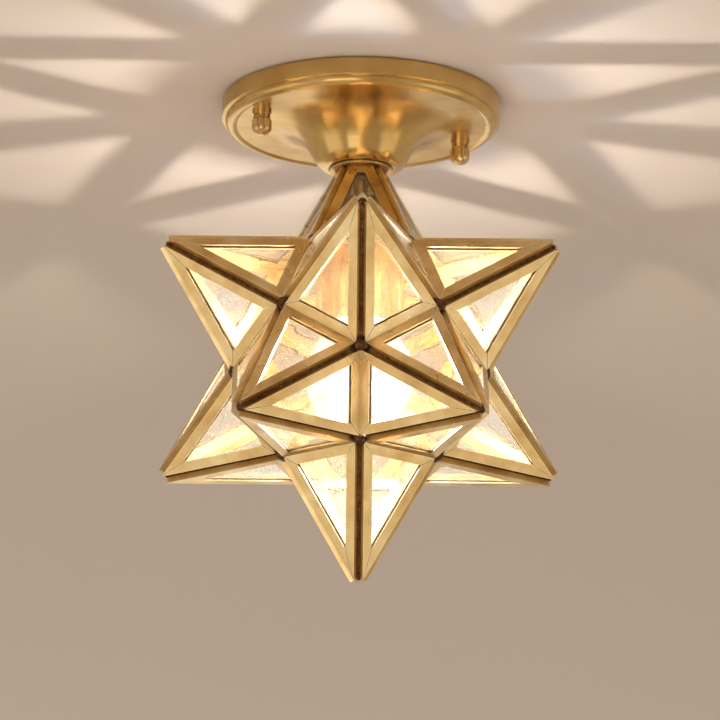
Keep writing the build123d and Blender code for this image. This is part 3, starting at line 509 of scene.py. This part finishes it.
class STAR_OT_solder(bpy.types.Operator):
    """Dresses the solder seams and adds knots of solder at the valley corners and the tips"""
    bl_idname = "star.solder"
    bl_label = "Solder Points"

    def execute(self, context):
        dress(["ridge_solder", "valley_solder", "door_solder"])
        radius = context.scene.star_light.knot_radius
        tip_radius = context.scene.star_light.tip_knot_radius
        tip_reach = TIP_REACH - tip_radius * TIP_KNOT_SUNK
        places = []
        for outward, at_door in valley_corners():
            sunk = radius * (DOOR_KNOT_SUNK if at_door else KNOT_SUNK)
            places.append((outward, VERTEX_RADIUS - sunk, radius))
        for outward in point_directions():
            # the top point has no tip, and the door's knot moves with the door
            if not same_way(outward, TOP_DIRECTION) and not same_way(outward, DOOR_DIRECTION):
                places.append((outward, tip_reach, tip_radius))
        solder_piece("solder_knots", places, "lamp")
        solder_piece("door_tip_knot", [(DOOR_DIRECTION, tip_reach, tip_radius)], "door_body")
        return {"FINISHED"}


class STAR_OT_canopy(bpy.types.Operator):
    """Dresses the canopy, the star's cap, the stem and the two ball nuts"""
    bl_idname = "star.canopy"
    bl_label = "Dress Canopy"

    def execute(self, context):
        dress(["canopy", "star_cap", "stem_tube", "left_ball_nut", "right_ball_nut"])
        return {"FINISHED"}


class STAR_OT_fixings(bpy.types.Operator):
    """Dresses the ceiling bar, studs, nuts, washers, threaded tube and wiring"""
    bl_idname = "star.fixings"
    bl_label = "Dress Fixings"

    def execute(self, context):
        dress(["ceiling_bar", "canopy_studs", "stud_lock_nuts", "neck_plate", "spacer_washer",
               "lock_washer", "neck_nut", "threaded_tube", "earth_screw", "terminal_block",
               "live_lead", "neutral_lead"])
        return {"FINISHED"}


class STAR_OT_socket(bpy.types.Operator):
    """Dresses the socket cup, the lampholder and its contacts"""
    bl_idname = "star.socket"
    bl_label = "Dress Socket"

    def execute(self, context):
        dress(["socket_cup", "cup_nut", "lampholder", "screw_shell", "centre_contact",
               "shell_terminal"])
        return {"FINISHED"}


class STAR_OT_door_hinge(bpy.types.Operator):
    """Dresses the door's hinge and its friction tongues"""
    bl_idname = "star.door_hinge"
    bl_label = "Dress Door Hinge"

    def execute(self, context):
        dress(["door_hinge_leaf", "star_hinge_leaf", "door_hinge_pin", "door_friction_tongues"])
        return {"FINISHED"}


class STAR_OT_bulb(bpy.types.Operator):
    """Dresses the bulb and lights it"""
    bl_idname = "star.bulb"
    bl_label = "Light Bulb"

    def execute(self, context):
        looks = context.scene.star_light
        dress(["bulb_glass", "bulb_stem", "bulb_filament", "bulb_cap", "bulb_insulator",
               "bulb_contact"])
        # the second light only adds the glare that the filament leaves in polished brass
        for name, power, colour, centre in (
                ("bulb_light", looks.bulb_power, looks.bulb_colour, BULB_CENTRE),
                ("bulb_glare", looks.glare_power, looks.glare_colour, BULB_CENTRE + GLARE_OFFSET)):
            data = bpy.data.lights.new(name, "POINT")
            data.energy = power
            data.color = colour
            data.shadow_soft_size = LAMP_RADIUS
            lamp = bpy.data.objects.new(name, data)
            lamp.location = centre
            lamp.visible_diffuse = name == "bulb_light"
            lamp.visible_camera = False
            context.scene.collection.objects.link(lamp)
            lamp.parent = frame["bodies"]["bulb_body"]
        return {"FINISHED"}


# The studio, in metres
STAGE_REACH = 3.4
CEILING_HEIGHT = 0.8 * MM                # clear of the canopy's rim and the bar, which touch z = 0
CEILING_HOLE = 0.87 * CANOPY_RADIUS      # under the canopy, where the wires come out of the ceiling
FLOOR_HEIGHT = -2.4
FLOOR_HOLE = MM                          # as good as closed
RING_STEPS = 96
SOFTBOXES = (                            # name, place, side and the setting for its power
    ("front_softbox", (-0.9, -2.8, -1.4), 1.6, "key_power"),
    ("left_softbox", (-1.8, -0.6, -1.0), 1.4, "fill_power"),
    ("right_softbox", (1.8, -0.6, -1.0), 1.4, "fill_power"),
    ("rear_softbox", (-0.55, 2.1, -0.75), 1.2, "fill_power"),
)

# The camera, fitted to the star's corners and tips in the photograph
PHOTO_SIZE = 720                         # pixels along each side of the photograph
STAR_PIXEL = (359.6, 361.3)              # where the star's centre stands in it
EDGE_PIXELS = 98.95                      # how long the star's edge is there
PIXELS_PER_METRE = EDGE_PIXELS / STAR_EDGE
CAMERA_ELEVATION = -17.78                # degrees, as are the next two
CAMERA_AZIMUTH = -0.44
CAMERA_ROLL = 0.40
SENSOR_MM = 36.0
CLIP_START = 0.1
CLIP_END = 40


def one_sided_paint(name, colour):
    """Matt emulsion paint that shows only from its face, so that from behind it hides nothing."""
    material, tree, shader = new_material(name, {"Base Color": socket_colour(colour), "Roughness": 0.9})
    side = add_node(tree, "NewGeometry")
    clear_where(tree, shader, side.outputs["Backfacing"])
    return material


def stage_sheet(name, height, hole, faces_up, material):
    """A flat ring of the stage, with a hole at its middle."""
    turns = [2 * math.pi * step / RING_STEPS for step in range(RING_STEPS)]
    corners = [(r * math.cos(a), r * math.sin(a), height) for r in (hole, STAGE_REACH) for a in turns]
    faces = []
    for step in range(RING_STEPS):
        after = (step + 1) % RING_STEPS
        face = (step, RING_STEPS + step, RING_STEPS + after, after)
        faces.append(face if faces_up else face[::-1])
    data = bpy.data.meshes.new(name)
    data.from_pydata(corners, [], faces)
    data.materials.append(material)
    sheet = bpy.data.objects.new(name, data)
    bpy.context.scene.collection.objects.link(sheet)


def softbox(name, place, side, power, colour):
    """A square studio lamp aimed at the star."""
    data = bpy.data.lights.new(name, "AREA")
    data.shape = "SQUARE"
    data.size = side
    data.energy = power
    data.color = colour
    lamp = bpy.data.objects.new(name, data)
    lamp.location = place
    lamp.rotation_euler = (STAR_CENTRE - lamp.location).to_track_quat("-Z", "Y").to_euler()
    lamp.visible_camera = False
    bpy.context.scene.collection.objects.link(lamp)


def studio_world(colour):
    """A world that has the ceiling's colour to the eye, in glass and in metal, and lights as white."""
    world = bpy.data.worlds.new("studio_world")
    world.use_nodes = True
    tree = world.node_tree
    path = add_node(tree, "LightPath")
    seen = add_node(tree, "MixRGB", {"Color1": socket_colour(colour), "Color2": linear("#ffffff")},
                    {"Fac": path.outputs["Is Diffuse Ray"]})
    air = tree.nodes["Background"]
    air.inputs["Strength"].default_value = 1.0
    tree.links.new(seen.outputs["Color"], air.inputs["Color"])
    return world


def photo_camera(distance):
    """A camera that has the star where the photograph has it."""
    elevation = math.radians(CAMERA_ELEVATION)
    azimuth = math.radians(CAMERA_AZIMUTH)
    roll = math.radians(CAMERA_ROLL)
    back = Vector((math.sin(azimuth) * math.cos(elevation), -math.cos(azimuth) * math.cos(elevation),
                   math.sin(elevation)))
    level_right = Vector((math.cos(azimuth), math.sin(azimuth), 0))
    level_up = back.cross(level_right)
    right = level_right * math.cos(roll) + level_up * math.sin(roll)
    up = level_up * math.cos(roll) - level_right * math.sin(roll)
    across = (STAR_PIXEL[0] - PHOTO_SIZE / 2) / PIXELS_PER_METRE
    down = (STAR_PIXEL[1] - PHOTO_SIZE / 2) / PIXELS_PER_METRE
    data = bpy.data.cameras.new("photo_camera")
    data.sensor_width = SENSOR_MM
    data.lens = SENSOR_MM * PIXELS_PER_METRE * distance / PHOTO_SIZE
    data.clip_start = CLIP_START
    data.clip_end = CLIP_END
    camera = bpy.data.objects.new("photo_camera", data)
    place = STAR_CENTRE + back * distance - right * across + up * down
    turn = Matrix((right, up, back)).transposed()
    camera.matrix_world = Matrix.Translation(place) @ turn.to_4x4()
    bpy.context.scene.collection.objects.link(camera)
    return camera


class STAR_OT_studio(bpy.types.Operator):
    """Sets up the ceiling, floor, softboxes, world and camera"""
    bl_idname = "star.studio"
    bl_label = "Set Up Studio"

    def execute(self, context):
        scene = context.scene
        studio = scene.star_studio
        paint = one_sided_paint("matt_emulsion", studio.ceiling_colour)
        stage_sheet("stage_ceiling", CEILING_HEIGHT, CEILING_HOLE, False, paint)
        stage_sheet("stage_floor", FLOOR_HEIGHT, FLOOR_HOLE, True, paint)
        for name, place, side, power in SOFTBOXES:
            softbox(name, place, side, getattr(studio, power), studio.softbox_colour)
        scene.world = studio_world(studio.ceiling_colour)
        scene.camera = photo_camera(studio.camera_distance)
        scene.view_settings.view_transform = "Standard"
        return {"FINISHED"}


class STAR_PT_panel(bpy.types.Panel):
    """Lists the steps and settings of the star light"""
    bl_idname = "STAR_PT_panel"
    bl_label = "Star Ceiling Light"
    bl_space_type = "VIEW_3D"
    bl_region_type = "UI"
    bl_category = "Star Light"

    def draw(self, context):
        for settings in (context.scene.star_light, context.scene.star_studio):
            for name in settings.bl_rna.properties.keys():
                if name not in ("rna_type", "name"):
                    self.layout.prop(settings, name)
        for step in STEPS:
            self.layout.operator(step.bl_idname)


STEPS = (STAR_OT_finishes, STAR_OT_points, STAR_OT_solder, STAR_OT_canopy, STAR_OT_fixings,
         STAR_OT_socket, STAR_OT_door_hinge, STAR_OT_bulb, STAR_OT_studio)
CLASSES = (StarLightSettings, StarStudioSettings) + STEPS + (STAR_PT_panel,)


def register():
    for cls in CLASSES:
        bpy.utils.register_class(cls)
    bpy.types.Scene.star_light = PointerProperty(type=StarLightSettings)
    bpy.types.Scene.star_studio = PointerProperty(type=StarStudioSettings)


def unregister():
    del bpy.types.Scene.star_studio
    del bpy.types.Scene.star_light
    for cls in reversed(CLASSES):
        bpy.utils.unregister_class(cls)


def main():
    register()
    for step in STEPS:
        group, name = step.bl_idname.split(".")
        getattr(getattr(bpy.ops, group), name)()


if __name__ == "__main__":
    main()
